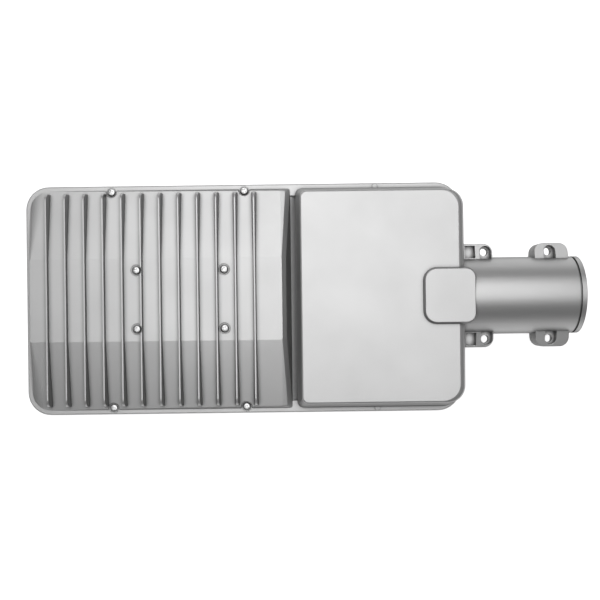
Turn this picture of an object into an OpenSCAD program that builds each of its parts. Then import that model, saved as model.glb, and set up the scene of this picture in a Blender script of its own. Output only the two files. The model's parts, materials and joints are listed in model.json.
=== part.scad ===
// Lamp head of a split solar street light: a die-cast housing with a fin bed and an equipment box,
// a lower frame with a glass window and a battery cover, and a split collar for the pole arm.
// The origin is the centre of the pole socket's mouth. X points out of the socket, along the arm,
// and Z points to the sky, so the light shines down.

/* [Housing] */
// Length of the body without the collar
body_l = 398; // [392:1:415]
// Width over the rim
body_w = 210; // [206:1:220]
// Corner radius of the rim
corner_r = 21; // [17:0.5:25]
// Bare rim beside the fin bed and the box
rim_w = 4.3; // [3.8:0.1:5]
// Thickness of the rim
rim_t = 4; // [3.5:0.1:6]
// Wall of the two large castings
wall_t = 3.5; // [3:0.1:4]
// Width of the sealing land under the rim
land_w = 7.5; // [7:0.1:9]
// Height of the collar's axis over the rim
axis_h = 4; // [3:0.5:6]
// Chamfer along the rim's upper edge
rim_edge = 0.9; // [0.4:0.1:1.5]

/* [Fin bed] */
// Length of the fin bed at its top, from the front edge
bed_l = 234.8; // [232:0.2:236]
// Length of the bevel behind the bed's top
bed_bevel_l = 3.9; // [2:0.1:5]
// Drop of that bevel
bed_bevel_h = 2.4; // [1:0.1:3]
// Slope of the bed's rear face under the bevel, seen in plan
bed_foot = 4.3; // [3:0.1:6]
// Slope of the bed's side step, seen in plan
eave_foot = 2.1; // [1:0.1:3]
// Height of the eaves over the rim at the rear
eave_h = 3.6; // [3:0.1:5]
// Height of the flat middle over the rim at the rear
crown_h = 11.2; // [10:0.1:14]
// Width of the flat middle
crown_w = 75.4; // [66:0.2:84]
// Fall of the bed from its rear to its front
bed_fall = 4; // [2:0.1:5]
// Number of fins
fin_count = 12; // [6:1:12]
// Distance of the first fin from the front edge
fin_first = 20.8; // [18:0.1:22]
// Pitch of the fins
fin_pitch = 17.2; // [15:0.1:17.4]
// Height of the fins over the flat middle
fin_h = 4.4; // [2.5:0.1:6]
// Thickness of a fin at its crest
fin_t = 1.5; // [0.8:0.1:2]
// Draft of a fin's sides, in degrees
fin_draft = 7; // [3:0.5:9]
// Radius of a fin's ends
fin_end_r = 7; // [3:0.5:8]
// Set-back of the fins' ends from the eaves
fin_inset = 1.4; // [0.5:0.1:4]

/* [Equipment box] */
// Floor of the channel between the fin bed and the box
channel_w = 4.7; // [4:0.1:7]
// Depth of the channel's groove in the rim, at the box
channel_h = 2; // [1.5:0.1:2.4]
// Bare land between the groove's end and the side edge
channel_land = 10.5; // [8:0.1:16]
// Height of the box over the rim
box_h = 34.5; // [32:0.1:36]
// Inward lean of the side walls over their height
side_lean = 6.5; // [4:0.1:9]
// Inward lean of the front wall over its height
front_lean = 3.8; // [2:0.1:5]
// Inward lean of the rear wall over its height
rear_lean = 1.6; // [1:0.1:3]
// Radius of the box's upper rear edge
rear_round = 5; // [3:0.1:6]
// Radius of the box's other upper edges
top_round = 1.2; // [0.6:0.1:2]
// Radius of the box's front corners
box_front_r = 6; // [4:0.5:9]
// Radius of the box's rear corners
box_rear_r = 18; // [14:0.5:20]
// Length of the raised pad over the socket
pad_l = 43.7; // [36:0.1:45]
// Width of the raised pad
pad_w = 46.8; // [42:0.2:52]
// Slope of the pad's sides, seen in plan
pad_slope = 1.7; // [1:0.1:4]

/* [Collar] */
// Diameter of the pole arm
pole_d = 60; // [58:0.5:62]
// Radial clearance of the socket on the arm
pole_clear = 0.1; // [0.05:0.01:0.2]
// Wall of the collar
collar_wall = 4.9; // [4:0.1:6]
// Length of the collar outside the body
collar_l = 105; // [103:1:112]
// Depth of the socket
socket_l = 134; // [128:1:140]
// Length of the lip at the mouth
lip_l = 4.1; // [3:0.1:6]
// Width and depth of the groove behind the lip
groove_w = 1.8; // [0.6:0.1:2]
// Length of an outer ear
ear_l = 30; // [28:0.2:34]
// Reach of the ears from the collar's axis
ear_reach = 46.9; // [46:0.1:49]
// Plan radius of the ears' corners
ear_r = 8; // [5:0.5:9]
// Height of an ear at its outer edge
ear_h = 9; // [4:0.1:10]
// Height of an ear where it meets the collar
ear_root_h = 12; // [10:0.5:15]
// Thickness under a clamp bolt's head
ear_seat_t = 3; // [2.5:0.1:4]
// Clamp bolt holes
bolt_hole_d = 7; // [6.4:0.1:7.4]
// Width of the pocket round a bolt's head
bolt_pocket_d = 10.4; // [10:0.1:11]
// Distance of the bolts from the axis
bolt_y = 39.6; // [38.8:0.1:40.4]
// Distance of the outer bolts from the mouth
bolt_x = 26; // [24:0.5:28]
// Distance between the outer and the inner bolts
bolt_pitch = 58; // [56:0.5:60]
// Clearance between the clamp half and the body
clamp_gap = 0.5; // [0.3:0.1:1]

/* [Lower frame] */
// Clearance of the collar over the surface the lamp lies on
foot_gap = 2; // [1.5:0.1:4]
// Set-back of the lower frame under the rim
frame_inset = 1.2; // [0.8:0.1:2]
// Inward lean of the frame's sides over their height
frame_lean = 1.4; // [0.5:0.1:2]
// Bevel along the frame's lower edge
frame_edge = 2.4; // [1:0.1:3]
// Thickness of the flat gasket between the castings
gasket_t = 1.5; // [1:0.1:2]
// Length of the window
window_l = 184; // [160:1:188]
// Distance from the side edge to the window
window_margin = 32; // [28:1:36]
// Overlap of the glass on the frame
glass_lap = 6; // [4:0.5:8]
// Thickness of the glass
glass_t = 4; // [3:0.1:5]
// Thickness of the glass seal
glass_seal_t = 1.2; // [0.8:0.1:2]
// Corner radius of the window
window_r = 10; // [6:0.5:16]

/* [Battery bay] */
// Step that the cover sits on
bay_step = 9; // [8.6:0.1:9.4]
// Thickness of the cover
cover_t = 4; // [3.6:0.1:5]
// Thickness of the cover's gasket
cover_seal_t = 1; // [0.6:0.1:1.5]
// Clearance round the cover
cover_clear = 0.3; // [0.2:0.05:0.6]
// Depth of the cover's face below the frame's face
cover_sunk = 0.4; // [0.2:0.1:0.8]
// Web between the window's glass and the cover
hatch_web = 10.7; // [10:0.1:14]
// Clearance of the battery behind the box's front wall
battery_ahead = 11; // [8:0.5:13]
// Clearance of the battery in the hatch, along the lamp
hatch_clear_x = 6; // [4:0.5:9]
// Clearance of the battery in the hatch, across the lamp
hatch_clear_y = 8; // [6:0.5:10]
// Room for the strap's posts beside the battery
battery_side = 17.8; // [17:0.1:20]
// Battery height
battery_h = 50; // [40:1:51]

/* [Light source] */
// Distance from the front edge to the middle of the light source
source_u = 142.3; // [138:0.1:146]
// Length of the heat spreader
spreader_l = 130; // [116:1:136]
// Width of the heat spreader
spreader_w = 90; // [84:1:92]
// Thickness of the heat spreader
spreader_t = 6; // [5:0.1:7]
// Thickness of the thermal pad
thermal_t = 0.5; // [0.3:0.1:1]
// Thickness of the circuit board
board_t = 1.6; // [1:0.1:2]
// Margin of the board inside the spreader
board_margin = 4; // [2:0.5:6]
// LEDs along the board
led_nx = 8; // [4:1:9]
// LEDs across the board
led_ny = 6; // [2:1:6]
// Pitch of the LEDs along the board
led_px = 12; // [10:0.5:12]
// Pitch of the LEDs across the board
led_py = 11; // [9:0.5:11]
// Side of an LED
led_s = 3.5; // [3:0.1:5]
// Sheet of the reflector
reflector_t = 0.8; // [0.5:0.1:1.2]
// Spacing of the module screws along the lamp
module_px = 80; // [78:0.5:82]
// Spacing of the module screws across the lamp
module_py = 53.6; // [50:0.2:56]

/* [Screws] */
// Diameter of the M4 screws
screw_d = 4; // [3.5:0.1:4.2]
// Diameter of a pan head
head_d = 8; // [7:0.1:8.4]
// Height of a pan head
head_h = 2.6; // [2:0.1:3]
// Diameter of the small M3 screws
small_d = 3; // [2.5:0.1:3.2]
// Clearance on the diameter in a clearance hole
hole_clear = 0.5; // [0.3:0.1:0.8]
// Clearance on the diameter in a tapped hole, modelled plain
tap_clear = 0.1; // [0.05:0.01:0.2]
// Distance of the rim screws from the side edge
screw_inset = 5.8; // [5.5:0.1:6.2]
// Distance of the first rim screws from the front edge
rim_screw_first = 79; // [76:0.1:83]
// Pitch of the rim screws
rim_screw_pitch = 122; // [119:0.1:124]
// Radius of the spot face round a rim screw
spot_r = 5.2; // [4.8:0.1:5.6]
// Length of the rim screws under the head
rim_screw_l = 18; // [14:0.5:22]
// Distance of the rear screws, driven from below, from the rear edge
rear_screw_u = 15.5; // [15:0.1:17]
// Distance of the rear screws from the side edge
rear_screw_inset = 14; // [13.6:0.1:15]
// Height of the rear screws' seats over the frame's face
rear_seat_h = 14; // [10:0.5:18]
// Length of the rear screws in the housing
rear_screw_grip = 10; // [8:0.5:12]

/* [Hidden] */
$fn = 64;

loft_fn = 32;
skin = 0.02;
cut = 1;

bore_r = pole_d / 2 + pole_clear;
collar_r = bore_r + collar_wall;
rear_x = -collar_l;
front_x = rear_x - body_l;
half_w = body_w / 2;
rim_z = -axis_h;
joint_z = rim_z - rim_t;
frame_top_z = joint_z - gasket_t;
rest_z = -collar_r - foot_gap;
floor_z = rest_z + wall_t - 0.5;

slope = atan(bed_fall / bed_l);
bed_half = half_w - rim_w;
bed_end = bed_l + bed_bevel_l + bed_foot;
foot_r = corner_r - rim_w;
fin_half = bed_half - eave_foot - fin_inset;
cavity_half = half_w - land_w;
edge_r = 2;

box_u = bed_end + channel_w;
channel_tilt = 1.2;
box_roof_z = rim_z + box_h - wall_t;
box_in_half = bed_half - side_lean - wall_t;
box_in_rear = rear_lean + wall_t + rear_round / 2;
box_in_x = rear_x - box_in_rear;
box_taper_r = 3;
pad_top = collar_r - rim_z + 0.2;
pad_front_r = 10;
pad_rear_r = 8;
pad_foot_r = 2;

socket_end_t = 5;
socket_land = 8;
socket_end_x = -socket_l - socket_end_t;
socket_back = 4;
socket_block_x = socket_end_x - socket_back;
wire_hole_r = 6;
cable_r = 3.5;
grommet_lip = 2;
grommet_sink = 0.5;
grommet_seat_x = -socket_l - grommet_sink - grommet_lip;

ear_behind = ear_l * 0.455;
ear_wall = 1;
relief_x = rear_x + 2.6;
relief_l = 9;
relief_w = 11.2;
relief_y = collar_r + 4.4;

screw_y = half_w - screw_inset;
rim_screw_us = [for (i = [0 : 1]) rim_screw_first + i * rim_screw_pitch];
rear_boss_r = 5.8;
rear_boss_h = rear_screw_grip + 6;
lug_u = rim_screw_first + 2 * rim_screw_pitch - 2;
lug_r = 2.3;
lug_h = 0.8;
boss_r = screw_d / 2 + 2.2;
tap_spare = 2;
small_head_d = 5.6;
small_head_h = 1.8;
spot_sink = 0.5;

seat_h = crown_h - bed_fall - wall_t;
seat_margin = 8;
seat_half = crown_w / 2 + seat_margin;
seat_z = rim_z + seat_h;
pad_z = seat_z - spreader_t;
board_z = pad_z - thermal_t;
led_z = board_z - board_t;
led_h = 0.7;
board_l = spreader_l - 2 * board_margin;
board_w = spreader_w - 2 * board_margin;
board_r = 2;
source_x = front_x + source_u;
module_screw_l = module_seat_z(-1) - pad_z - 1;
board_screw_l = 5.5;
board_screw_inset = [10, 8];

battery_front_x = front_x + box_u + front_lean + wall_t + battery_ahead;
bay_front_x = battery_front_x - hatch_clear_x - bay_step;

glass_z = floor_z + glass_seal_t;
glass_top_z = glass_z + glass_t;
window_w = body_w - 2 * window_margin;
glass_l = window_l + 2 * glass_lap;
glass_w = window_w + 2 * glass_lap;
window_x = bay_front_x - hatch_web - glass_l / 2;
mouth_z = glass_top_z + 0.3;
mouth_lap = 1;
reflector_l = led_nx * led_px + 4;
reflector_w = led_ny * led_py + 1;
flare = atan((led_z - mouth_z) / (window_l / 2 + mouth_lap - board_l / 2));
sheet_h = reflector_t / cos(flare);
clip_w = 10;
clip_t = 1;
clip_reach = boss_r + 3.5;
clip_y = glass_w / 2 + boss_r + 0.5;
clip_screw_l = 4.5;

bay_rear_x = socket_block_x - 1;
bay_x = (bay_front_x + bay_rear_x) / 2;
bay_l = bay_rear_x - bay_front_x - 2 * bay_step;
battery_l = bay_l - 2 * hatch_clear_x;
battery_w = 2 * (box_in_half - battery_side);
bay_w = battery_w + 2 * hatch_clear_y;
bay_ring_t = 8;
bay_ring_w = bay_step + 5;
bay_r = 6;
cover_z = rest_z + cover_sunk;
step_z = cover_z + cover_t + cover_seal_t;
cover_l = bay_l + 2 * bay_step - 2 * cover_clear;
cover_w = bay_w + 2 * bay_step - 2 * cover_clear;
cover_screw_l = 8;
cover_head_d = 5.6;
cover_head_h = 2;
cover_seat_h = cover_head_h + 0.2;
cover_pocket_d = cover_head_d + hole_clear;

battery_r = 8;
strap_t = 1.5;
strap_w = 20;
strap_z = box_roof_z - battery_h;
strap_post_r = 5;
strap_post_y = battery_w / 2 + strap_post_r + 4;
strap_screw_l = 12;

small_post_r = 3;
small_post_z = 12;
small_tap_l = 9;
gear_clear = 3;
gear_front_x = bay_x + battery_l / 2;
gear_x = (gear_front_x + box_in_x) / 2;
gear_y = (box_in_half + collar_r) / 2;
ctrl_tab = 6;
ctrl_l = box_in_x - gear_front_x - 2 * gear_clear;
ctrl_w = box_in_half - collar_r - 2 * ctrl_tab - 3 * gear_clear;
ctrl_h = 22;
ctrl_tab_w = 12;
ctrl_tab_t = 2.5;
ctrl_post_y = ctrl_w / 2 + ctrl_tab / 2;
term_l = 24;
term_w = 18;
term_h = 14;
term_py = 14;
term_seat_h = 5;
term_way_d = 4;

// Height of the flat middle of the fin bed, at a distance from the front edge
function crown_z(u) = rim_z + crown_h - bed_fall * (bed_l - u) / bed_l;

// Plan outline with its own corner radius at the front and at the rear
module plan(u0, u1, half, front_r, rear_r) {
    translate([u0 + front_r, -half]) square([u1 - rear_r - u0 - front_r, 2 * half]);
    translate([u0, -half + front_r]) square([front_r + skin, 2 * (half - front_r)]);
    translate([u1 - rear_r - skin, -half + rear_r]) square([rear_r + skin, 2 * (half - rear_r)]);
    for (side = [-1, 1]) {
        translate([u0 + front_r, side * (half - front_r)]) circle(r = front_r);
        translate([u1 - rear_r, side * (half - rear_r)]) circle(r = rear_r);
    }
}

// The four corners of such an outline, for a hull to join
module corners(u0, u1, half, front_r, rear_r) {
    for (side = [-1, 1]) {
        translate([u0 + front_r, side * (half - front_r)]) circle(r = front_r, $fn = loft_fn);
        translate([u1 - rear_r, side * (half - rear_r)]) circle(r = rear_r, $fn = loft_fn);
    }
}

// Rounded rectangle about the origin
module panel(l, w, r) {
    plan(-l / 2, l / 2, w / 2, r, r);
}

module plate(z, t) {
    translate([front_x, 0, z]) linear_extrude(t) children();
}

// Thin slab on the fin bed's incline; its height is given at the rear
module inclined(h) {
    translate([front_x, 0, rim_z + h - bed_fall]) rotate([0, -slope, 0])
        translate([0, 0, -skin]) linear_extrude(skin) children();
}

// Pan head screw with its seat at z = 0 and its shank below
module pan_screw(d, hd, hh, l) {
    cap = hh * 0.6;
    ball_r = (hd * hd / 4 + cap * cap) / (2 * cap);
    recess = hd * 0.5;
    slot = hd * 0.14;
    difference() {
        intersection() {
            cylinder(h = hh, d = hd);
            translate([0, 0, hh - ball_r]) sphere(r = ball_r);
        }
        for (a = [0, 90]) rotate(a)
            translate([-recess / 2, -slot / 2, hh * 0.45]) cube([recess, slot, hh]);
    }
    translate([0, 0, -l]) cylinder(h = l + skin, d = d);
}

module at_rim_screws() {
    for (u = rim_screw_us, side = [-1, 1]) translate([front_x + u, side * screw_y, 0]) children();
}

module at_rear_screws() {
    for (side = [-1, 1])
        translate([rear_x - rear_screw_u, side * (half_w - rear_screw_inset), 0]) children();
}

// Height of the spot face under a module screw's head
function module_seat_z(i) = crown_z(source_u + i * module_px / 2) - spot_sink;

module at_module_screws() {
    for (i = [-1, 1], side = [-1, 1])
        translate([source_x + i * module_px / 2, side * module_py / 2, module_seat_z(i)]) children();
}

module at_clamp_bolts() {
    for (i = [0, 1], side = [-1, 1])
        translate([-bolt_x - i * bolt_pitch, side * bolt_y, 0]) children();
}

module along_x(r, x0, x1) {
    translate([x0, 0, 0]) rotate([0, 90, 0]) cylinder(h = x1 - x0, r = r);
}

// Outline of the hollow at the joint between the two castings
module hollow_plan() {
    difference() {
        plan(land_w, body_l - land_w, cavity_half, corner_r - land_w, corner_r - land_w);
        translate([socket_block_x - front_x, -bore_r - socket_land])
            square([body_l, 2 * (bore_r + socket_land)]);
        for (u = rim_screw_us, side = [-1, 1]) translate([u, side * screw_y]) circle(r = boss_r);
        for (side = [-1, 1]) translate([body_l - rear_screw_u, side * (half_w - rear_screw_inset)])
            circle(r = rear_boss_r);
    }
}

module rim() {
    hull() {
        plate(joint_z, rim_t - rim_edge) corners(0, body_l, half_w, corner_r, corner_r);
        plate(rim_z - skin, skin)
            corners(rim_edge, body_l - rim_edge, half_w - rim_edge, corner_r - rim_edge,
                corner_r - rim_edge);
    }
}

module fin_bed() {
    hull() {
        plate(rim_z - cut, cut) corners(rim_w, bed_end, bed_half, foot_r, edge_r);
        inclined(eave_h) corners(rim_w + skin, bed_l, bed_half - eave_foot, foot_r - eave_foot, edge_r);
        inclined(crown_h) corners(rim_w + skin, bed_l, crown_w / 2, edge_r, edge_r);
        inclined(eave_h - bed_bevel_h / 3)
            corners(corner_r, bed_l + bed_bevel_l, bed_half - eave_foot, edge_r, edge_r);
        inclined(crown_h - bed_bevel_h)
            corners(corner_r, bed_l + bed_bevel_l, crown_w / 2, edge_r, edge_r);
    }
}

// Groove in the channel's floor; it falls towards the box, and its ends slope
module channel_groove() {
    end = half_w - channel_land;
    low = rim_z - channel_h;
    intersection() {
        translate([front_x, half_w, 0]) rotate([90, 0, 0]) linear_extrude(body_w)
            polygon([[bed_end, rim_z + skin], [bed_end, low + channel_tilt], [box_u, low],
                [box_u, rim_z + skin]]);
        translate([front_x, 0, 0]) rotate([90, 0, 90]) linear_extrude(body_l)
            polygon([[-end - skin, rim_z + skin], [-end + channel_h, low], [end - channel_h, low],
                [end + skin, rim_z + skin]]);
    }
}

// One fin: a drafted bar along Y, cut to a long profile with round ends
module fin(u) {
    crest = crown_z(u) + fin_h;
    foot = rim_z - cut;
    h = crest - foot;
    spread = h * tan(fin_draft);
    intersection() {
        translate([front_x + u, fin_half, foot]) rotate([90, 0, 0]) linear_extrude(2 * fin_half)
            polygon([[-fin_t / 2 - spread, 0], [fin_t / 2 + spread, 0], [fin_t / 2, h], [-fin_t / 2, h]]);
        translate([front_x + u - fin_t - spread, 0, 0]) rotate([90, 0, 90])
            linear_extrude(2 * (fin_t + spread)) {
                translate([-fin_half, foot]) square([2 * fin_half, h - fin_end_r]);
                translate([-fin_half + fin_end_r, foot]) square([2 * (fin_half - fin_end_r), h]);
                for (side = [-1, 1])
                    translate([side * (fin_half - fin_end_r), crest - fin_end_r]) circle(r = fin_end_r);
            }
    }
}

// One level of the equipment box, at a height over the rim; shrink draws it in for the edge
module box_level(h, shrink, rear_shrink) {
    k = h / box_h;
    plate(rim_z + h - skin, skin)
        corners(box_u + front_lean * k + shrink, body_l - rear_lean * k - rear_shrink,
            bed_half - side_lean * k - shrink, box_front_r - shrink, box_rear_r - box_taper_r * k);
}

// The rear edge is rounded in steps, the other edges are only broken
module box_form() {
    hull() {
        plate(rim_z - cut, cut)
            corners(box_u, body_l, bed_half, box_front_r, box_rear_r);
        for (a = [0, 25, 50])
            box_level(box_h - rear_round * (1 - sin(a)), 0, rear_round * (1 - cos(a)));
        box_level(box_h - top_round * 0.4, top_round * 0.3, rear_round * (1 - cos(72)));
        box_level(box_h, top_round, rear_round);
    }
}

module box_hollow() {
    hull() {
        plate(joint_z - cut, cut)
            corners(box_u + wall_t, body_l - wall_t, bed_half - wall_t, box_front_r, box_rear_r - wall_t);
        plate(box_roof_z - skin, skin)
            corners(box_u + front_lean + wall_t, body_l - rear_lean - wall_t - rear_round / 2,
                bed_half - side_lean - wall_t, box_front_r, box_rear_r - wall_t);
    }
}

module socket_pad() {
    u0 = socket_block_x - front_x + 1;
    plate(collar_r / 2, rim_z + box_h - collar_r / 2)
        plan(body_l - box_in_rear, u0 + pad_l + pad_slope, pad_w / 2 + pad_slope, edge_r,
            pad_rear_r + pad_foot_r);
    hull() {
        plate(rim_z + box_h - cut, cut)
            corners(u0 - pad_slope, u0 + pad_l + pad_slope, pad_w / 2 + pad_slope,
                pad_front_r + pad_foot_r, pad_rear_r + pad_foot_r);
        plate(rim_z + pad_top - skin, skin)
            corners(u0, u0 + pad_l, pad_w / 2, pad_front_r, pad_rear_r);
    }
}

// Hollow under the fin bed: a flat seat in the middle, slopes to the sides
module bed_hollow() {
    low = joint_z - rim_z;
    intersection() {
        translate([front_x, 0, rim_z]) rotate([90, 0, 90]) linear_extrude(bed_l)
            polygon([[-cavity_half, low - cut], [-cavity_half, low], [-seat_half, seat_h],
                [seat_half, seat_h], [cavity_half, low], [cavity_half, low - cut]]);
        plate(joint_z - cut, body_w)
            plan(land_w, bed_l - wall_t, cavity_half, corner_r - land_w, edge_r);
    }
}

// Plan of one ear between two places on the axis
module ear_plan(x0, x1, inner_r) {
    translate([x0, 0]) plan(0, x1 - x0, ear_reach, inner_r, ear_r);
}

// Ears of one half; up is 1 for the upper half and -1 for the lower one
module ears(up, inner_x) {
    outer_x = -bolt_x - ear_behind;
    for (side = [-1, 1]) intersection() {
        translate([inner_x, 0, 0]) rotate([90, 0, 90]) linear_extrude(-inner_x)
            polygon([[side * bore_r, 0], [side * ear_reach, 0], [side * ear_reach, up * ear_h],
                [side * (collar_r - 2), up * ear_root_h], [side * bore_r, up * ear_root_h]]);
        translate([0, 0, min(0, up * ear_root_h)]) linear_extrude(ear_root_h) {
            ear_plan(outer_x, outer_x + ear_l, ear_r);
            ear_plan(inner_x, bolt_pocket_d / 2 + ear_wall - bolt_x - bolt_pitch, edge_r);
        }
    }
}

// Bolt holes of one half, and their head pockets, open towards the tube
module ear_cuts(up) {
    at_clamp_bolts() {
        translate([0, 0, -ear_root_h]) cylinder(h = 2 * ear_root_h, d = bolt_hole_d);
        translate([0, 0, up > 0 ? ear_seat_t : -ear_seat_t - collar_r])
            cylinder(h = collar_r, d = bolt_pocket_d);
    }
    for (i = [0, 1], side = [-1, 1])
        translate([-bolt_x - i * bolt_pitch - bolt_pocket_d / 2, side > 0 ? collar_r - 2 : -bolt_y,
            up > 0 ? ear_seat_t : -ear_seat_t - collar_r])
            cube([bolt_pocket_d, bolt_y - collar_r + 2, collar_r]);
}

// Half of the collar tube with its lip, on one side of the joint plane
module collar_half(up, inner_x) {
    intersection() {
        difference() {
            along_x(collar_r, inner_x, 0);
            translate([-lip_l - groove_w, 0, 0]) rotate([0, 90, 0]) difference() {
                cylinder(h = groove_w, r = collar_r + cut);
                cylinder(h = groove_w, r = collar_r - groove_w);
            }
        }
        translate([inner_x, -collar_r, up > 0 ? 0 : -collar_r])
            cube([-inner_x, 2 * collar_r, collar_r]);
    }
}

// What joins the box, the collar and the body round the socket
module socket_block() {
    intersection() {
        union() {
            along_x(collar_r, socket_end_x, rear_x);
            translate([socket_block_x, -bore_r - socket_land, joint_z])
                cube([rear_x - socket_block_x, 2 * (bore_r + socket_land), rim_t]);
        }
        translate([socket_block_x, -half_w, joint_z])
            cube([rear_x - socket_block_x, body_w, collar_r - joint_z]);
    }
}

module socket_bore() {
    along_x(bore_r, -socket_l, cut);
    along_x(wire_hole_r, socket_end_x - cut, -socket_l + cut);
    along_x(wire_hole_r + grommet_lip + 1, socket_block_x - cut, socket_end_x);
    along_x(wire_hole_r + grommet_lip + 1, grommet_seat_x, -socket_l + cut);
}

// Post under the box's roof, tapped from below
module post(z, r, d, depth) {
    translate([0, 0, z]) difference() {
        cylinder(h = box_roof_z - z + cut, r = r);
        translate([0, 0, -cut]) cylinder(h = depth + cut, d = d + tap_clear);
    }
}

module at_strap_posts() {
    for (side = [-1, 1]) translate([bay_x, side * strap_post_y, 0]) children();
}

module at_controller_posts() {
    for (side = [-1, 1]) translate([gear_x, gear_y + side * ctrl_post_y, 0]) children();
}

module at_terminal_posts() {
    for (i = [-1, 1]) translate([gear_x, i * term_py / 2 - gear_y, 0]) children();
}

module rear_housing() {
    color("silver") difference() {
        union() {
            difference() {
                union() {
                    rim();
                    fin_bed();
                    box_form();
                    for (i = [0 : fin_count - 1]) fin(fin_first + i * fin_pitch);
                }
                bed_hollow();
                box_hollow();
            }
            socket_pad();
            collar_half(1, rear_x - skin);
            ears(1, rear_x - skin);
            socket_block();
            at_strap_posts() post(strap_z, strap_post_r, screw_d, strap_screw_l);
            at_controller_posts() post(small_post_z, small_post_r, small_d, small_tap_l);
            at_terminal_posts() post(small_post_z, small_post_r, small_d, small_tap_l);
            at_rear_screws() translate([0, 0, joint_z]) cylinder(h = rear_boss_h, r = rear_boss_r);
            for (side = [-1, 1]) translate([front_x + lug_u, side * (half_w - rim_edge - lug_r), rim_z - cut])
                cylinder(h = lug_h + cut, r = lug_r);
        }
        channel_groove();
        at_rear_screws() translate([0, 0, joint_z - cut])
            cylinder(h = rear_screw_grip + tap_spare + cut, d = screw_d + tap_clear);
        socket_bore();
        ear_cuts(1);
        for (side = [-1, 1]) translate([relief_x, side * relief_y - relief_w / 2, ear_seat_t])
            cube([relief_l, relief_w, ear_root_h]);
        at_rim_screws() {
            translate([0, 0, rim_z]) cylinder(h = crown_h, r = spot_r);
            translate([0, 0, joint_z - cut]) cylinder(h = rim_t + 2 * cut, d = screw_d + hole_clear);
        }
        at_module_screws() {
            cylinder(h = crown_h, r = spot_r);
            translate([0, 0, -crown_h]) cylinder(h = crown_h + cut, d = screw_d + hole_clear);
        }
    }
}

module lower_frame() {
    color("silver") difference() {
        union() {
            difference() {
                hull() {
                    frame_level(frame_top_z - skin, frame_inset);
                    frame_level(rest_z + frame_edge, frame_inset + frame_lean);
                    frame_level(rest_z, frame_inset + frame_lean + frame_edge);
                }
                translate([front_x, 0, floor_z]) linear_extrude(frame_top_z - floor_z + cut)
                    hollow_plan();
            }
            translate([bay_x, 0, rest_z]) linear_extrude(bay_ring_t)
                panel(bay_l + 2 * bay_ring_w, bay_w + 2 * bay_ring_w, bay_r + edge_r);
            at_cover_screws() translate([0, 0, step_z]) cylinder(h = cover_screw_l, r = boss_r);
            intersection() {
                along_x(collar_r, socket_end_x, rear_x - frame_inset - frame_lean);
                translate([socket_end_x, -half_w, rest_z]) cube([socket_l, body_w, frame_top_z - rest_z]);
            }
            at_clips() translate([0, 0, floor_z - skin])
                cylinder(h = glass_top_z - floor_z + skin, r = boss_r);
        }
        along_x(bore_r, -socket_l, cut);
        translate([window_x, 0, rest_z - cut]) linear_extrude(wall_t + 2 * cut)
            panel(window_l, window_w, window_r);
        translate([bay_x, 0, rest_z - cut]) linear_extrude(bay_ring_t + 2 * cut)
            panel(bay_l, bay_w, bay_r);
        translate([bay_x, 0, rest_z - cut]) linear_extrude(step_z - rest_z + cut)
            panel(bay_l + 2 * bay_step, bay_w + 2 * bay_step, bay_r);
        at_rim_screws() translate([0, 0, rim_z - rim_screw_l - tap_spare])
            cylinder(h = rim_screw_l, d = screw_d + tap_clear);
        at_rear_screws() {
            translate([0, 0, rest_z]) cylinder(h = frame_top_z - rest_z + cut, d = screw_d + hole_clear);
            translate([0, 0, rest_z - cut]) cylinder(h = rear_seat_h + cut, d = head_d + 2 * hole_clear);
        }
        at_cover_screws() translate([0, 0, step_z - cut])
            cylinder(h = cover_screw_l - 1 + cut, d = screw_d + tap_clear);
        at_clips() translate([0, 0, floor_z + 1])
            cylinder(h = glass_top_z - floor_z, d = small_d + tap_clear);
    }
}

module frame_level(z, inset) {
    plate(z, skin) corners(inset, body_l - inset, half_w - inset, corner_r - inset, corner_r - inset);
}

module clamp_half() {
    inner_x = rear_x + clamp_gap;
    color("silver") difference() {
        union() {
            collar_half(-1, inner_x);
            ears(-1, inner_x);
        }
        along_x(bore_r, inner_x - cut, cut);
        ear_cuts(-1);
    }
}

module frame_gasket() {
    inset = frame_inset + 0.3;
    color("dimgray") plate(frame_top_z, gasket_t) difference() {
        plan(inset, body_l - inset, half_w - inset, corner_r - inset, corner_r - inset);
        hollow_plan();
        translate([-socket_l - front_x, -bore_r]) square([body_l, 2 * bore_r]);
        for (u = rim_screw_us, side = [-1, 1])
            translate([u, side * screw_y]) circle(d = screw_d + hole_clear);
        for (side = [-1, 1]) translate([body_l - rear_screw_u, side * (half_w - rear_screw_inset)])
            circle(d = screw_d + hole_clear);
    }
}

// Four screws from above, and two at the rear from below
module rim_screws() {
    color("gainsboro") {
        at_rim_screws() translate([0, 0, rim_z]) pan_screw(screw_d, head_d, head_h, rim_screw_l);
        at_rear_screws() translate([0, 0, rest_z + rear_seat_h]) rotate([180, 0, 0])
            pan_screw(screw_d, head_d, head_h, joint_z + rear_screw_grip - rest_z - rear_seat_h);
    }
}

module module_screws() {
    color("gainsboro") at_module_screws() pan_screw(screw_d, head_d, head_h, module_screw_l);
}

module at_board_screws() {
    for (i = [-1, 1], side = [-1, 1])
        translate([source_x + i * (spreader_l / 2 - board_screw_inset[0]),
            side * (spreader_w / 2 - board_screw_inset[1]), 0]) children();
}

module heat_spreader() {
    color("lightgray") difference() {
        translate([source_x, 0, pad_z]) linear_extrude(spreader_t)
            panel(spreader_l, spreader_w, 2 * board_r);
        at_module_screws() translate([0, 0, -module_screw_l - 0.5])
            cylinder(h = 2 * module_screw_l, d = screw_d + tap_clear);
        at_board_screws() translate([0, 0, pad_z - cut])
            cylinder(h = board_screw_l - 1 + cut, d = small_d + tap_clear);
    }
}

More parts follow.
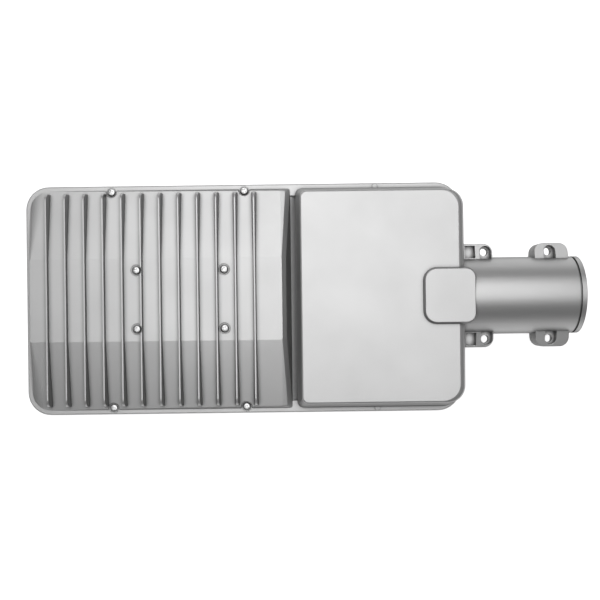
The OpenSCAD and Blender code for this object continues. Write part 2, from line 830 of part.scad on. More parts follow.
// Flat sheet of the light source with holes for the board's screws
module source_sheet(z, t) {
    difference() {
        translate([source_x, 0, z]) linear_extrude(t) panel(board_l, board_w, board_r);
        at_board_screws() translate([0, 0, z - cut]) cylinder(h = t + 2 * cut, d = small_d + hole_clear);
    }
}

module thermal_pad() {
    color("lightsteelblue") source_sheet(board_z, thermal_t);
}

module led_board() {
    color("white") source_sheet(led_z, board_t);
}

module led_packages() {
    color("khaki") translate([source_x, 0, led_z - led_h])
        for (i = [0 : led_nx - 1], j = [0 : led_ny - 1])
            translate([(i - (led_nx - 1) / 2) * led_px - led_s / 2,
                (j - (led_ny - 1) / 2) * led_py - led_s / 2, 0]) cube([led_s, led_s, led_h]);
}

module board_screws() {
    color("gainsboro") at_board_screws() translate([0, 0, led_z - sheet_h]) rotate([180, 0, 0])
        pan_screw(small_d, small_head_d, small_head_h, board_screw_l);
}

// Pressed tray: a flat ring under the board, then walls that flare to the glass
module reflector() {
    color("whitesmoke") difference() {
        reflector_form(led_z, mouth_z);
        reflector_form(led_z - sheet_h, mouth_z - sheet_h);
        translate([source_x, 0, mouth_z]) linear_extrude(led_z - mouth_z + cut)
            panel(reflector_l, reflector_w, board_r);
        at_board_screws() translate([0, 0, mouth_z])
            cylinder(h = led_z - mouth_z + cut, d = small_d + hole_clear);
    }
}

module reflector_form(top_z, low_z) {
    hull() {
        translate([source_x, 0, top_z - skin]) linear_extrude(skin)
            panel(board_l, board_w, board_r, $fn = loft_fn);
        translate([window_x, 0, low_z]) linear_extrude(skin)
            panel(window_l + 2 * mouth_lap, window_w + 2 * mouth_lap, window_r, $fn = loft_fn);
    }
}

module glass_window() {
    color([0.75, 0.85, 0.88, 0.4]) translate([window_x, 0, glass_z]) linear_extrude(glass_t)
        panel(glass_l, glass_w, window_r + glass_lap);
}

module glass_seal() {
    color("dimgray") translate([window_x, 0, floor_z]) linear_extrude(glass_seal_t) difference() {
        panel(glass_l, glass_w, window_r + glass_lap);
        panel(window_l, window_w, window_r);
    }
}

// The clips' bosses; -Y points to the glass
module at_clips() {
    for (i = [-1, 1], turn = [0, 180])
        translate([window_x + i * window_l / 3, 0, 0]) rotate(turn) translate([0, clip_y, 0]) children();
}

// Flat spring clips that reach from their boss over the edge of the glass
module glass_clips() {
    color("lightgray") at_clips() translate([0, 0, glass_top_z]) difference() {
        translate([-clip_w / 2, -clip_reach, 0]) cube([clip_w, clip_reach + boss_r, clip_t]);
        translate([0, 0, -cut]) cylinder(h = clip_t + 2 * cut, d = small_d + hole_clear);
    }
}

module clip_screws() {
    color("gainsboro") at_clips() translate([0, 0, glass_top_z + clip_t])
        pan_screw(small_d, small_head_d, small_head_h, clip_screw_l);
}

// Shrink-wrapped pack of round cells, as one solid
module battery_pack() {
    color("steelblue") translate([bay_x, 0, strap_z]) linear_extrude(battery_h)
        panel(battery_l, battery_w, battery_r);
}

module battery_strap() {
    color("lightgray") difference() {
        translate([bay_x, 0, strap_z - strap_t]) linear_extrude(strap_t)
            panel(strap_w, 2 * (strap_post_y + strap_post_r + edge_r), strap_post_r);
        at_strap_posts() translate([0, 0, strap_z - strap_t - cut])
            cylinder(h = strap_t + 2 * cut, d = screw_d + hole_clear);
    }
}

module strap_screws() {
    color("gainsboro") at_strap_posts() translate([0, 0, strap_z - strap_t]) rotate([180, 0, 0])
        pan_screw(screw_d, head_d, head_h, strap_screw_l);
}

// Potted controller in its own shell, with two fixing tabs
module charge_controller() {
    color("darkslategray") difference() {
        translate([gear_x, gear_y, small_post_z]) {
            translate([0, 0, -ctrl_h]) linear_extrude(ctrl_h) panel(ctrl_l, ctrl_w, edge_r);
            translate([-ctrl_tab_w / 2, -ctrl_w / 2 - ctrl_tab, -ctrl_tab_t])
                cube([ctrl_tab_w, ctrl_w + 2 * ctrl_tab, ctrl_tab_t]);
        }
        at_controller_posts() translate([0, 0, small_post_z - ctrl_h])
            cylinder(h = ctrl_h + cut, d = small_d + hole_clear);
    }
}

module controller_screws() {
    color("gainsboro") at_controller_posts() translate([0, 0, small_post_z - ctrl_tab_t])
        rotate([180, 0, 0]) pan_screw(small_d, small_head_d, small_head_h, small_tap_l);
}

module terminal_block() {
    color("ivory") difference() {
        translate([gear_x - term_w / 2, -gear_y - term_l / 2, small_post_z - term_h])
            cube([term_w, term_l, term_h]);
        at_terminal_posts() translate([0, 0, small_post_z - term_h - cut]) {
            cylinder(h = term_h + 2 * cut, d = small_d + hole_clear);
            cylinder(h = term_seat_h + cut, d = small_head_d + 2 * hole_clear);
        }
        for (i = [-1 : 1])
            translate([gear_x - term_w / 2 - cut, i * term_py / 2 - gear_y, small_post_z - term_way_d])
                rotate([0, 90, 0]) cylinder(h = term_w / 3, d = term_way_d);
    }
}

module terminal_screws() {
    color("gainsboro") at_terminal_posts() translate([0, 0, small_post_z - term_h + term_seat_h])
        rotate([180, 0, 0])
            pan_screw(small_d, small_head_d, small_head_h, term_h - term_seat_h + small_tap_l - 1);
}

module at_cover_screws() {
    for (i = [-1, 1], side = [-1, 1])
        translate([bay_x + i * (bay_l + bay_step) / 2, side * (bay_w + bay_step) / 2, 0]) children();
}

module battery_cover() {
    color("silver") difference() {
        translate([bay_x, 0, cover_z]) linear_extrude(cover_t)
            panel(cover_l, cover_w, bay_r - cover_clear);
        at_cover_screws() translate([0, 0, cover_z - cut]) {
            cylinder(h = cover_t + 2 * cut, d = screw_d + hole_clear);
            cylinder(h = cover_seat_h + cut, d = cover_pocket_d);
        }
    }
}

module cover_gasket() {
    color("dimgray") difference() {
        translate([bay_x, 0, cover_z + cover_t]) linear_extrude(cover_seal_t) difference() {
            panel(cover_l, cover_w, bay_r - cover_clear);
            panel(bay_l, bay_w, bay_r);
        }
        at_cover_screws() translate([0, 0, cover_z + cover_t - cut])
            cylinder(h = cover_seal_t + 2 * cut, d = screw_d + hole_clear);
    }
}

module cover_screws() {
    color("gainsboro") at_cover_screws() translate([0, 0, cover_z + cover_seat_h]) rotate([180, 0, 0])
        pan_screw(screw_d, cover_head_d, cover_head_h, cover_screw_l);
}

// Rubber grommet that grips the socket's end wall round the wire hole, clear of the arm
module cable_grommet() {
    lip_r = wire_hole_r + grommet_lip;
    color("dimgray") difference() {
        union() {
            along_x(lip_r, grommet_seat_x, grommet_seat_x + grommet_lip);
            along_x(wire_hole_r, socket_end_x - skin, grommet_seat_x + skin);
            along_x(lip_r, socket_end_x - grommet_lip, socket_end_x);
        }
        along_x(cable_r, socket_end_x - grommet_lip - cut, -socket_l + cut);
    }
}

rear_housing();
lower_frame();
clamp_half();
frame_gasket();
rim_screws();
module_screws();
heat_spreader();
thermal_pad();
led_board();
led_packages();
board_screws();
reflector();
glass_window();
glass_seal();
glass_clips();
clip_screws();
battery_pack();
battery_strap();
strap_screws();
charge_controller();
controller_screws();
terminal_block();
terminal_screws();
battery_cover();
cover_gasket();
cover_screws();
cable_grommet();
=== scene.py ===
import json
import math

import bmesh
import bpy
from mathutils import Matrix, Vector


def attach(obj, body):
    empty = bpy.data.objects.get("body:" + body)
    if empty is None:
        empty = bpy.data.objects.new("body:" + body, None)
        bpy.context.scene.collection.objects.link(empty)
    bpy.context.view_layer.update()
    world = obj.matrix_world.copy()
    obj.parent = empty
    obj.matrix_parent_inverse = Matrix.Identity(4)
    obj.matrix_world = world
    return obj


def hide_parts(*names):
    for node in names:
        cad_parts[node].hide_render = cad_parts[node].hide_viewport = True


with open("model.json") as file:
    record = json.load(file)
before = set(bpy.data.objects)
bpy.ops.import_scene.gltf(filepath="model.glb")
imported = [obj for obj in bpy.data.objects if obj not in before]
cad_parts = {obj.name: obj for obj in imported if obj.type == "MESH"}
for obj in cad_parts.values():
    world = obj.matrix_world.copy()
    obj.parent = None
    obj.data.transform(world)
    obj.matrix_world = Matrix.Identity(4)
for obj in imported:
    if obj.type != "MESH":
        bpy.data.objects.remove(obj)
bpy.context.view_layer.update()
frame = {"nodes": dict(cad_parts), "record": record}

print("scene: frame loaded,", len(frame["nodes"]), "nodes")

scene = bpy.context.scene
mm = 0.001


cameraSizes = {
    "lens": 54.0,
    "sensor": 36.0,
    "place": (-0.2613, -0.0155, 0.824),
    "shift": (0.0167, 0.025),
    "roll": -0.72,  # degrees
}


def makeCamera(sizes):
    data = bpy.data.cameras.new("camera")
    data.lens = sizes["lens"]
    data.sensor_width = sizes["sensor"]
    camera = bpy.data.objects.new("camera", data)
    scene.collection.objects.link(camera)
    data.shift_x, data.shift_y = sizes["shift"]
    camera.location = sizes["place"]
    camera.rotation_euler = (0, 0, math.radians(sizes["roll"]))  # looks straight down
    scene.camera = camera
    return camera


makeCamera(cameraSizes)


def newMaterial(name):
    material = bpy.data.materials.new(name)
    material.use_nodes = True
    tree = material.node_tree
    tree.nodes.clear()
    output = tree.nodes.new("ShaderNodeOutputMaterial")
    return material, tree, output


def addNode(tree, kind, settings=None, **inputs):
    node = tree.nodes.new(kind)
    for key, value in (settings or {}).items():
        setattr(node, key, value)
    for key, value in inputs.items():
        socket = node.inputs[key.replace("_", " ")]
        if isinstance(value, bpy.types.NodeSocket):
            tree.links.new(value, socket)
        else:
            socket.default_value = value
    return node


def objectPoint(tree, scale=(1, 1, 1)):
    coord = addNode(tree, "ShaderNodeTexCoord")
    mapping = addNode(tree, "ShaderNodeMapping")
    mapping.inputs["Scale"].default_value = scale
    tree.links.new(coord.outputs["Object"], mapping.inputs["Vector"])
    return mapping.outputs["Vector"]


def noise(tree, point, scale, detail=3.0, roughness=0.5):
    node = addNode(tree, "ShaderNodeTexNoise", None, Vector=point, Scale=scale, Detail=detail,
                   Roughness=roughness)
    return node.outputs["Fac"]


def spread(tree, value, low, high, fromLow=0.0, fromHigh=1.0):
    node = addNode(tree, "ShaderNodeMapRange")
    tree.links.new(value, node.inputs["Value"])
    for key, number in zip(("From Min", "From Max", "To Min", "To Max"), (fromLow, fromHigh, low, high)):
        node.inputs[key].default_value = number
    return node.outputs["Result"]


def blendColours(tree, factor, first, second):
    node = addNode(tree, "ShaderNodeMix", {"data_type": "RGBA"})
    for socket, value in ((node.inputs[0], factor), (node.inputs[6], first), (node.inputs[7], second)):
        if isinstance(value, bpy.types.NodeSocket):
            tree.links.new(value, socket)
        else:
            socket.default_value = value
    return node.outputs[2]


def math2(tree, operation, first, second):
    node = addNode(tree, "ShaderNodeMath", {"operation": operation})
    for socket, value in zip(node.inputs, (first, second)):
        if isinstance(value, bpy.types.NodeSocket):
            tree.links.new(value, socket)
        else:
            socket.default_value = value
    return node.outputs[0]


def grey(level, warm=0.0):
    return (level + warm, level, level - warm, 1.0)


# How much the rounded normal differs from the face's own: 0 on flats, 1 on edges
def edgeShare(tree, bevelled, gain):
    geometry = addNode(tree, "ShaderNodeNewGeometry")
    dot = addNode(tree, "ShaderNodeVectorMath", {"operation": "DOT_PRODUCT"})
    tree.links.new(bevelled, dot.inputs[0])
    tree.links.new(geometry.outputs["Normal"], dot.inputs[1])
    return spread(tree, dot.outputs["Value"], 1.0, 0.0, 1.0 - gain, 1.0)


# How far a direction points up or down: 0 level, 1 upright
def heightShare(tree, direction):
    axes = addNode(tree, "ShaderNodeSeparateXYZ")
    tree.links.new(direction, axes.inputs[0])
    return math2(tree, "ABSOLUTE", axes.outputs["Z"], 0.0)


castSizes = {
    "colour": 0.60, "stain": 0.585, "metal": 0.85, "rough": (0.42, 0.45),
    "cloud": 22.0, "cloudSpan": (0.35, 0.7),  # scale and edges of the stains
    # edge tone and its share: edge wear and a painted highlight on the bevelled edges
    "edge": 0.66, "edgeWearAndHighlight": 0.55, "edgeGain": 0.12, "round": 0.0007,
    "grain": 2600.0, "grainDepth": 0.00002, "grainRough": 0.03,
    "wave": 24.0, "waveDepth": 0.000008,
    "nook": 0.005, "nookShade": 0.30,  # reach of the painted shade in the corners, and the tone it leaves there
    "nookSpan": (0.35, 0.92),  # openness at which the painted shade is full, and at which it ends
    "steep": (0.17, 0.45),  # upward share of the normal below which steep sides get painted shade
    # share and tone of the painted shade on steep sides
    "steepShadeShare": 0.66, "steepShade": 0.06,
}


def castFinish(name, sizes):
    material, tree, output = newMaterial(name)
    point = objectPoint(tree)
    bevel = addNode(tree, "ShaderNodeBevel", {"samples": 6}, Radius=sizes["round"])
    edge = edgeShare(tree, bevel.outputs["Normal"], sizes["edgeGain"])
    cloud = noise(tree, point, sizes["cloud"], 4.0, 0.55)
    grain = noise(tree, point, sizes["grain"], 2.0)
    colour = blendColours(tree, spread(tree, cloud, 0.0, 1.0, *sizes["cloudSpan"]), grey(sizes["colour"]),
                          grey(sizes["stain"]))
    # Edge wear and painted highlight: convex and concave edges turn lighter
    wearAndHighlight = math2(tree, "MULTIPLY", edge, sizes["edgeWearAndHighlight"])
    colour = blendColours(tree, wearAndHighlight, colour, grey(sizes["edge"]))
    # Painted shade: the colour turns darker in corners and creases, from ambient occlusion
    nook = addNode(tree, "ShaderNodeAmbientOcclusion", {"samples": 8}, Distance=sizes["nook"])
    openShare = spread(tree, nook.outputs["AO"], 0.0, 1.0, *sizes["nookSpan"])
    colour = blendColours(tree, openShare, grey(sizes["colour"] * sizes["nookShade"]), colour)
    # Painted shade: steep sides turn darker, by the direction of their normal
    steepShade = spread(tree, heightShare(tree, bevel.outputs["Normal"]), sizes["steepShadeShare"], 0.0,
                  *sizes["steep"])
    colour = blendColours(tree, steepShade, colour, grey(sizes["steepShade"]))
    rough = math2(tree, "ADD", spread(tree, cloud, *sizes["rough"], 0.3, 0.7),
                  spread(tree, grain, -sizes["grainRough"], sizes["grainRough"]))
    wave = addNode(tree, "ShaderNodeBump", None, Strength=1.0, Distance=sizes["waveDepth"],
                   Height=noise(tree, point, sizes["wave"], 2.0), Normal=bevel.outputs["Normal"])
    bump = addNode(tree, "ShaderNodeBump", None, Strength=1.0, Distance=sizes["grainDepth"],
                   Height=grain, Normal=wave.outputs["Normal"])
    shader = addNode(tree, "ShaderNodeBsdfPrincipled", None, Metallic=sizes["metal"], Base_Color=colour,
                     Roughness=rough, Normal=bump.outputs["Normal"])
    tree.links.new(shader.outputs[0], output.inputs[0])
    return material


plainCloud = 30.0  # scale of the tone's change on the plain finishes
plainRound = 0.2 * mm
plainSizes = {
    "zincScrew": {"colour": 0.72, "second": 0.66, "metal": 1.0, "rough": (0.26, 0.36), "scale": 900.0,
                  "depth": 0.00001},
    "springSteel": {"colour": 0.58, "second": 0.48, "metal": 1.0, "rough": (0.25, 0.40), "scale": 600.0,
                    "depth": 0.00001, "stretch": (1, 0.04, 1)},
    "milledAluminium": {"colour": 0.72, "second": 0.64, "metal": 1.0, "rough": (0.22, 0.34),
                        "scale": 900.0, "depth": 0.00001, "stretch": (0.03, 1, 1)},
    "blackSilicone": {"colour": 0.028, "second": 0.045, "metal": 0.0, "rough": (0.55, 0.75),
                      "scale": 700.0, "depth": 0.00003},
    "thermalSilicone": {"colour": 0.34, "second": 0.28, "metal": 0.0, "rough": (0.6, 0.75),
                        "scale": 500.0, "depth": 0.00002, "tint": (0.85, 1.0, 1.2)},
    "solderMask": {"colour": 0.80, "second": 0.74, "metal": 0.0, "rough": (0.30, 0.42), "scale": 400.0,
                   "depth": 0.000008},
    "phosphor": {"colour": 0.62, "second": 0.50, "metal": 0.0, "rough": (0.25, 0.35), "scale": 900.0,
                 "depth": 0.00001, "tint": (1.0, 0.74, 0.18)},
    "brightSheet": {"colour": 0.86, "second": 0.80, "metal": 1.0, "rough": (0.10, 0.18), "scale": 60.0,
                    "depth": 0.00004},
    "batteryWrap": {"colour": 0.10, "second": 0.08, "metal": 0.0, "rough": (0.22, 0.36), "scale": 120.0,
                    "depth": 0.0001, "tint": (0.25, 0.7, 2.2)},
    "controllerShell": {"colour": 0.035, "second": 0.05, "metal": 0.0, "rough": (0.4, 0.55),
                        "scale": 1200.0, "depth": 0.00003},
    "ivoryPlastic": {"colour": 0.62, "second": 0.56, "metal": 0.0, "rough": (0.35, 0.45),
                     "scale": 800.0, "depth": 0.00001, "tint": (1.05, 1.0, 0.86)},
}


def plainFinish(name, sizes):
    material, tree, output = newMaterial(name)
    point = objectPoint(tree, sizes.get("stretch", (1, 1, 1)))
    fine = noise(tree, point, sizes["scale"], 3.0)
    cloud = noise(tree, point, plainCloud, 3.0)
    tint = sizes.get("tint", (1, 1, 1))
    first = tuple(sizes["colour"] * t for t in tint) + (1.0,)
    second = tuple(sizes["second"] * t for t in tint) + (1.0,)
    colour = blendColours(tree, spread(tree, cloud, 0.0, 1.0, 0.35, 0.65), first, second)
    rough = spread(tree, fine, *sizes["rough"], 0.3, 0.7)
    bevel = addNode(tree, "ShaderNodeBevel", {"samples": 4}, Radius=plainRound)
    bump = addNode(tree, "ShaderNodeBump", None, Strength=1.0, Distance=sizes["depth"], Height=fine,
                   Normal=bevel.outputs["Normal"])
    shader = addNode(tree, "ShaderNodeBsdfPrincipled", None, Metallic=sizes["metal"], Base_Color=colour,
                     Roughness=rough, Normal=bump.outputs["Normal"])
    tree.links.new(shader.outputs[0], output.inputs[0])
    return material


glassSizes = {"ior": 1.5, "rough": (0.01, 0.05), "smear": 18.0, "tint": (0.93, 0.97, 0.96, 1),
              "clear": (0.97, 0.99, 0.98, 1)}


def glassFinish(name, sizes):
    material, tree, output = newMaterial(name)
    smear = noise(tree, objectPoint(tree), sizes["smear"], 3.0)
    shader = addNode(tree, "ShaderNodeBsdfPrincipled", None, IOR=sizes["ior"],
                     Roughness=spread(tree, smear, *sizes["rough"]),
                     Base_Color=blendColours(tree, smear, sizes["tint"], sizes["clear"]))
    shader.inputs["Transmission Weight"].default_value = 1.0
    tree.links.new(shader.outputs[0], output.inputs[0])
    return material


finishes = {name: plainFinish(name, sizes) for name, sizes in plainSizes.items()}
finishes["castAluminium"] = castFinish("castAluminium", castSizes)
finishes["clearGlass"] = glassFinish("clearGlass", glassSizes)

finishOfSlot = {
    "casting": "castAluminium", "steel": "zincScrew", "rubber": "blackSilicone",
    "spreader": "milledAluminium", "thermal": "thermalSilicone", "board": "solderMask",
    "led": "phosphor", "reflector": "brightSheet", "glass": "clearGlass", "battery": "batteryWrap",
    "controller": "controllerShell", "terminal": "ivoryPlastic",
}
springNodes = ("glass_clips", "battery_strap")


def dressNodes():
    slotOfNode = {s["node"]: s["material_slot"] for s in frame["record"]["subparts"]}
    for name, node in frame["nodes"].items():
        finish = "springSteel" if name in springNodes else finishOfSlot[slotOfNode[name]]
        if not node.data.materials:
            node.data.materials.append(finishes[finish])
        for i in range(len(node.data.materials)):
            node.data.materials[i] = finishes[finish]


dressNodes()
print("scene: finishes on the carried nodes")


sameSpot = 1e-6  # corners nearer than this are one


# The separate solids of a CAD node: lowest corner, highest corner and whether the wide end is up
def solidsOf(nodeName):
    work = bmesh.new()
    work.from_mesh(frame["nodes"][nodeName].data)
    bmesh.ops.remove_doubles(work, verts=work.verts, dist=sameSpot)
    unseen = set(work.verts)
    solids = []
    while unseen:
        stack = [unseen.pop()]
        island = []
        while stack:
            vert = stack.pop()
            island.append(vert.co.copy())
            for edge in vert.link_edges:
                other = edge.other_vert(vert)
                if other in unseen:
                    unseen.remove(other)
                    stack.append(other)
        low = Vector(min(co[i] for co in island) for i in range(3))
        high = Vector(max(co[i] for co in island) for i in range(3))
        middle = (low + high) / 2
        widest = max(island, key=lambda co: (co.xy - middle.xy).length)
        solids.append({"low": low, "high": high, "up": widest.z > middle.z})
    work.free()
    return sorted(solids, key=lambda one: (round(one["low"].x, 4), round(one["low"].y, 4)))


# Instances a shape on points; each point's "flip" turns it over, and a seeded turn goes round Z
def instanceTree(name):
    tree = bpy.data.node_groups.new(name, "GeometryNodeTree")
    for socketName, kind in (("Geometry", "Geometry"), ("Shape", "Object"), ("Most Turn", "Float"),
                             ("Turn Seed", "Int"), ("Finish", "Material")):
        tree.interface.new_socket(socketName, in_out="INPUT", socket_type="NodeSocket" + kind)
    tree.interface.new_socket("Geometry", in_out="OUTPUT", socket_type="NodeSocketGeometry")
    given = tree.nodes.new("NodeGroupInput")
    result = tree.nodes.new("NodeGroupOutput")
    shape = tree.nodes.new("GeometryNodeObjectInfo")
    turn = tree.nodes.new("FunctionNodeRandomValue")
    flip = tree.nodes.new("GeometryNodeInputNamedAttribute")
    flip.data_type = "FLOAT"
    flip.inputs["Name"].default_value = "flip"
    angle = tree.nodes.new("ShaderNodeMath")
    angle.operation = "MULTIPLY"
    angle.inputs[1].default_value = math.pi
    euler = tree.nodes.new("ShaderNodeCombineXYZ")
    instance = tree.nodes.new("GeometryNodeInstanceOnPoints")
    realize = tree.nodes.new("GeometryNodeRealizeInstances")
    finish = tree.nodes.new("GeometryNodeSetMaterial")
    link = tree.links.new
    link(given.outputs["Shape"], shape.inputs["Object"])
    link(given.outputs["Most Turn"], turn.inputs[3])  # the float Max
    link(given.outputs["Turn Seed"], turn.inputs["Seed"])
    link(flip.outputs["Attribute"], angle.inputs[0])
    link(angle.outputs[0], euler.inputs["X"])
    link(turn.outputs[1], euler.inputs["Z"])
    link(given.outputs["Geometry"], instance.inputs["Points"])
    link(shape.outputs["Geometry"], instance.inputs["Instance"])
    link(euler.outputs[0], instance.inputs["Rotation"])
    link(instance.outputs[0], realize.inputs[0])
    link(realize.outputs[0], finish.inputs["Geometry"])
    link(given.outputs["Finish"], finish.inputs["Material"])
    link(finish.outputs[0], result.inputs[0])
    return tree


def meshObject(name, mesh):
    thing = bpy.data.objects.new(name, mesh)
    scene.collection.objects.link(thing)
    return thing


def setInputs(modifier, values):
    for item in modifier.node_group.interface.items_tree:
        if item.in_out == "INPUT" and item.name in values:
            modifier[item.identifier] = values[item.name]


def meshFrom(name, work):
    mesh = bpy.data.meshes.new(name)
    work.to_mesh(mesh)
    work.free()
    return mesh


def evaluatedMesh(thing):
    bpy.context.view_layer.update()
    return bpy.data.meshes.new_from_object(thing.evaluated_get(bpy.context.evaluated_depsgraph_get()))


# Runs a tree over a mesh and keeps the result as a plain mesh in a new object
def grow(name, mesh, tree, values):
    seed = meshObject(name + "Seed", mesh)
    modifier = seed.modifiers.new("grow", "NODES")
    modifier.node_group = tree
    setInputs(modifier, values)
    grown = evaluatedMesh(seed)
    bpy.data.objects.remove(seed)
    grown.name = name
    return meshObject(name, grown)


# Points with the flip of each, as the instances' places
def pointMesh(name, places, flips):
    mesh = bpy.data.meshes.new(name)
    mesh.from_pydata(places, [], [])
    layer = mesh.attributes.new("flip", "FLOAT", "POINT")
    layer.data.foreach_set("value", flips)
    return mesh


# Revolves (radius, height) points round Z into a closed mesh; the first and last lie on the axis
def lathe(profile, segments):
    work = bmesh.new()
    rings = []
    for radius, height in profile:
        if radius < 1e-9:
            rings.append([work.verts.new((0, 0, height))])
            continue
        turns = [2 * math.pi * i / segments for i in range(segments)]
        rings.append([work.verts.new((radius * math.cos(a), radius * math.sin(a), height)) for a in turns])
    for upper, lower in zip(rings, rings[1:]):
        for i in range(segments):
            corners = [upper[i % len(upper)], lower[i % len(lower)], lower[(i + 1) % len(lower)],
                       upper[(i + 1) % len(upper)]]
            work.faces.new(list(dict.fromkeys(corners)))
    bmesh.ops.recalc_face_normals(work, faces=work.faces)
    return work


screwSizes = {
    "segments": 32, "rings": 12, "fullness": 3.2,  # the head's section: flat on top, steep at its rim
    "side": 0.2, "foot": 0.97,  # height of the head's side, and its radius at the seat
    "arm": 0.5, "armWidth": 0.15, "armDepth": 0.62,  # cross recess, of the head's width and height
    "armFoot": 0.72, "armTop": 1.2,  # its width at the bottom, and where its cutter ends
    "pitch": 0.175, "thread": 0.12,  # of the shank's diameter
    "flank": 0.6, "crest": 0.99, "point": 0.8,  # the root's place in a turn, the crest, and the end
}
# Head's diameter and height, and the thread, in mm
threadedNodes = {
    "rim_screws": (8.0, 2.6, 4.0), "module_screws": (8.0, 2.6, 4.0), "strap_screws": (8.0, 2.6, 4.0),
    "cover_screws": (5.6, 2.0, 4.0), "board_screws": (5.6, 1.8, 3.0), "clip_screws": (5.6, 1.8, 3.0),
    "controller_screws": (5.6, 1.8, 3.0), "terminal_screws": (5.6, 1.8, 3.0),
}


# Pan head and threaded shank as one revolved body, the seat at the origin
def screwBody(name, headR, headH, thread, length, sizes):
    full = sizes["fullness"]
    profile = [(0.0, headH)]
    for i in range(1, sizes["rings"]):
        share = math.sin(math.pi / 2 * i / sizes["rings"])
        profile.append((headR * share, headH * (1 - share ** full) ** (1 / full)))
    profile += [(headR, headH * sizes["side"]), (headR * sizes["foot"], 0.0)]
    shank = thread / 2
    pitch = thread * sizes["pitch"]
    root = shank * (1 - 2 * sizes["thread"])
    profile.append((shank, 0.0))
    for i in range(int((length - shank) / pitch)):
        profile += [(root, -(i + sizes["flank"]) * pitch), (shank * sizes["crest"], -(i + 1.0) * pitch)]
    profile += [(root * sizes["point"], -length), (0.0, -length)]
    return meshFrom(name, lathe(profile, sizes["segments"]))


# Tapered cross that is cut into the head
def crossCutter(name, headR, headH, sizes):
    arm = headR * sizes["arm"]
    wide = headR * sizes["armWidth"]
    foot = sizes["armFoot"]
    deep = headH * (1 - sizes["armDepth"])
    outline = [(arm, wide), (wide, wide), (wide, arm)]
    plan = [Matrix.Rotation(math.pi / 2 * q, 2) @ Vector(c) for q in range(4) for c in outline]
    work = bmesh.new()
    bottom = [work.verts.new((c.x * foot, c.y * foot, deep)) for c in plan]
    top = [work.verts.new((c.x, c.y, headH * sizes["armTop"])) for c in plan]
    count = len(plan)
    for i in range(count):
        work.faces.new((bottom[i], bottom[(i + 1) % count], top[(i + 1) % count], top[i]))
    work.faces.new(top)
    work.faces.new(list(reversed(bottom)))
    bmesh.ops.recalc_face_normals(work, faces=work.faces)
    return meshFrom(name, work)


def screwMesh(name, head, height, thread, length, sizes):
    headR = head / 2
    body = meshObject(name, screwBody(name, headR, height, thread, length, sizes))
    cross = meshObject(name + "Cross", crossCutter(name + "Cross", headR, height, sizes))
    cut = body.modifiers.new("cross", "BOOLEAN")
    cut.operation = "DIFFERENCE"
    cut.solver = "EXACT"
    cut.object = cross
    done = evaluatedMesh(body)
    bpy.data.objects.remove(body)
    bpy.data.objects.remove(cross)
    return done


# Screws of one node, sorted by their length under the head in mm
def byLength(solids, height):
    groups = {}
    for one in solids:
        length = round((one["high"].z - one["low"].z - height) / mm, 2)
        groups.setdefault(length, []).append(one)
    return groups


def seatOf(one, height):
    middle = (one["low"] + one["high"]) / 2
    return middle.x, middle.y, one["high"].z - height if one["up"] else one["low"].z + height


def makeScrews():
    tree = instanceTree("screwSet")
    for nodeName, sizesInMm in threadedNodes.items():
        head, height, thread = (size * mm for size in sizesInMm)
        solids = solidsOf(nodeName)
        groups = byLength(solids, height)
        for i, (length, members) in enumerate(groups.items()):
            name = nodeName.split("_")[0] + "Screw" + str(i)
            mesh = screwMesh(name, head, height, thread, length * mm, screwSizes)
            shape = meshObject(name + "Shape", mesh)
            places = [seatOf(one, height) for one in members]
            points = pointMesh(name, places, [0.0 if one["up"] else 1.0 for one in members])
            piece = grow(name, points, tree, {"Shape": shape, "Most Turn": 2 * math.pi,
                                              "Turn Seed": len(nodeName), "Finish": finishes["zincScrew"]})
            bpy.data.objects.remove(shape)
            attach(piece, "root")
            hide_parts(nodeName)
        print("scene:", nodeName, "as", len(groups), "piece(s),", len(solids), "screws")


makeScrews()


ledSizes = {"side": 3.5, "corner": 0.3, "base": 0.32, "dome": 1.45, "rise": 0.38, "rings": 5,
            "segments": 20}


# Ceramic base with cut corners, its back at the origin
def ledBaseMesh(sizes):
    half = sizes["side"] / 2 * mm
    inner = half - sizes["corner"] * mm
    corner = [(half, inner), (inner, half)]
    outline = [Matrix.Rotation(math.pi / 2 * q, 2) @ Vector(c) for q in range(4) for c in corner]
    work = bmesh.new()
    face = work.faces.new([work.verts.new((c.x, c.y, 0)) for c in outline])
    raised = bmesh.ops.extrude_face_region(work, geom=[face])["geom"]
    bmesh.ops.translate(work, vec=(0, 0, sizes["base"] * mm),
                        verts=[v for v in raised if isinstance(v, bmesh.types.BMVert)])
    bmesh.ops.recalc_face_normals(work, faces=work.faces)
    return meshFrom("ledBase", work)


# Flat dome of phosphor on the base
def ledDomeMesh(sizes):
    foot = sizes["base"] * mm
    rise = sizes["rise"] * mm
    profile = [(0.0, foot + rise)]
    for i in range(1, sizes["rings"] + 1):
        turn = math.pi / 2 * i / sizes["rings"]
        profile.append((sizes["dome"] * mm * math.sin(turn), foot + rise * math.cos(turn)))
    profile.append((0.0, foot))
    return meshFrom("ledDome", lathe(profile, sizes["segments"]))


def makeLeds():
    tree = instanceTree("ledField")
    solids = solidsOf("led_packages")
    places = [((one["low"].x + one["high"].x) / 2, (one["low"].y + one["high"].y) / 2, one["high"].z)
              for one in solids]
    for name, mesh, finish in (("ledBases", ledBaseMesh(ledSizes), "ivoryPlastic"),
                               ("ledDomes", ledDomeMesh(ledSizes), "phosphor")):
        shape = meshObject(name + "Shape", mesh)
        piece = grow(name, pointMesh(name, places, [1.0] * len(places)), tree,
                     {"Shape": shape, "Most Turn": 0.0, "Turn Seed": 1, "Finish": finishes[finish]})
        bpy.data.objects.remove(shape)
        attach(piece, "root")
        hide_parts("led_packages")
    print("scene:", len(places), "LEDs")


makeLeds()


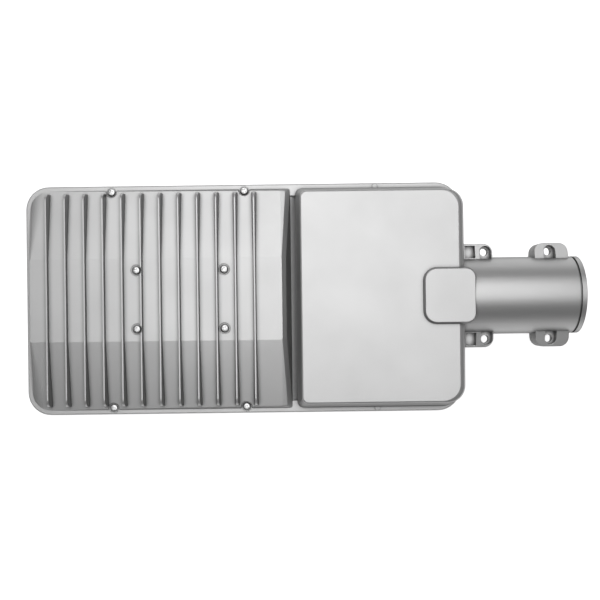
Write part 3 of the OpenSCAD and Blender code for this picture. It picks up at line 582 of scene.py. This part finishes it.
stageSizes = {
    "floor": 30.0, "floorZ": -0.0372, "floorGrey": 0.9, "glow": 0.82, "glossGlow": 0.34,
    "world": 0.11, "backdrop": 1.0, "horizon": 0.60, "horizonTop": 0.34,
}
lampSizes = {
    "key": {"place": (-0.225, 0.28, 1.10), "target": (-0.22, 0.0, 0.0), "size": (1.20, 1.32),
            "power": 9.2},
    "left": {"place": (-1.4, 0.2, 0.8), "target": (-0.27, 0, 0.0), "size": (0.6, 0.7), "power": 0.4},
}


def makeLamp(name, sizes):
    data = bpy.data.lights.new(name, "AREA")
    data.shape = "RECTANGLE"
    data.size, data.size_y = sizes["size"]
    data.energy = sizes["power"]
    lamp = bpy.data.objects.new(name, data)
    scene.collection.objects.link(lamp)
    place = Vector(sizes["place"])
    lamp.location = place
    lamp.rotation_euler = (place - Vector(sizes["target"])).to_track_quat("Z", "Y").to_euler()
    return lamp


# One strength to the camera and through the glass, another in the metal's reflections, else none
def seenStrength(tree, direct, glossy):
    path = addNode(tree, "ShaderNodeLightPath")
    seen = math2(tree, "MAXIMUM", path.outputs["Is Camera Ray"], path.outputs["Is Transmission Ray"])
    return math2(tree, "MAXIMUM", math2(tree, "MULTIPLY", seen, direct),
                 math2(tree, "MULTIPLY", path.outputs["Is Glossy Ray"], glossy))


def makeFloor(sizes):
    half = sizes["floor"] / 2
    mesh = bpy.data.meshes.new("floor")
    mesh.from_pydata([(-half, -half, 0), (half, -half, 0), (half, half, 0), (-half, half, 0)], [],
                     [(0, 1, 2, 3)])
    mesh.transform(Matrix.Translation((0, 0, sizes["floorZ"])))
    floor = meshObject("floor", mesh)
    material, tree, output = newMaterial("paleFloor")
    diffuse = addNode(tree, "ShaderNodeBsdfDiffuse", None, Color=grey(sizes["floorGrey"]))
    glow = addNode(tree, "ShaderNodeEmission", None, Color=(1, 1, 1, 1),
                   Strength=seenStrength(tree, sizes["glow"], sizes["glossGlow"]))
    both = addNode(tree, "ShaderNodeAddShader")
    tree.links.new(diffuse.outputs[0], both.inputs[0])
    tree.links.new(glow.outputs[0], both.inputs[1])
    tree.links.new(both.outputs[0], output.inputs[0])
    mesh.materials.append(material)
    return floor


# Dim overhead and pale at the horizon for the metal, white to the camera
def makeWorld(sizes):
    world = bpy.data.worlds.new("studio")
    world.use_nodes = True
    tree = world.node_tree
    tree.nodes.clear()
    output = tree.nodes.new("ShaderNodeOutputWorld")
    height = heightShare(tree, addNode(tree, "ShaderNodeTexCoord").outputs["Object"])
    pale = spread(tree, height, sizes["horizon"], sizes["world"], 0.0, sizes["horizonTop"])
    strength = math2(tree, "MAXIMUM", seenStrength(tree, sizes["backdrop"], pale), sizes["world"])
    back = addNode(tree, "ShaderNodeBackground", None, Color=(1, 1, 1, 1), Strength=strength)
    tree.links.new(back.outputs[0], output.inputs[0])
    scene.world = world


for lampName, sizes in lampSizes.items():
    makeLamp(lampName, sizes)
makeFloor(stageSizes)
makeWorld(stageSizes)
scene.view_settings.view_transform = "Standard"
print("scene: stage and lamps")
